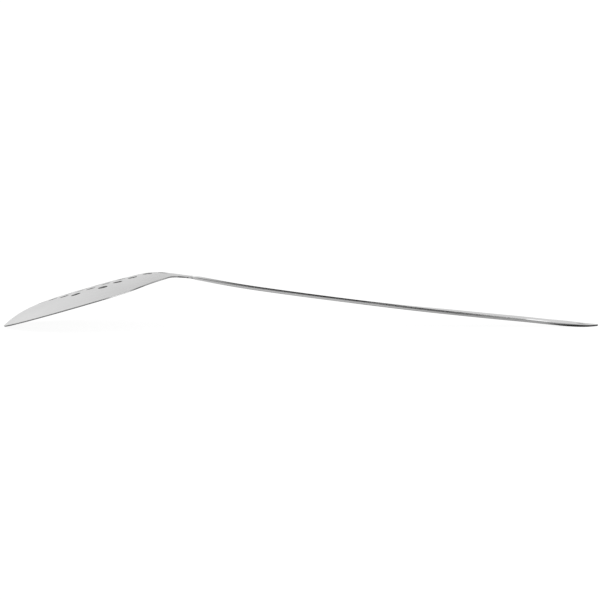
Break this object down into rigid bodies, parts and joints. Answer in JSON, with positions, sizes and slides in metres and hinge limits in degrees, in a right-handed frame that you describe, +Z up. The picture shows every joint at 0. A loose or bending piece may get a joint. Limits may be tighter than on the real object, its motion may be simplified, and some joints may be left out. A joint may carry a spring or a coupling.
{
  "type": "skimmer",
  "caption": "Steel kitchen skimmer: a shallow round perforated bowl on a slim shank that broadens to a flat grip with a hanging hole, for lifting food out of liquid.",
  "frame": {"origin": "middle of the overall box at the height of the surface that the skimmer lies on, bowl opening down", "axes": "+X along the tool to the end of the handle, +Y across it, +Z up, away from the surface that it lies on"},
  "size_m": [0.3618, 0.1088, 0.0326],
  "materials": {
    "satin_steel": "satin, finely brushed",
    "weld_steel": "ground flush",
    "polished_steel": "polished"
  },
  "bodies": {
    "root": {"skimmer_bowl": "satin_steel", "neck_weld": "weld_steel", "handle": "polished_steel"}
  },
  "joints": []
}
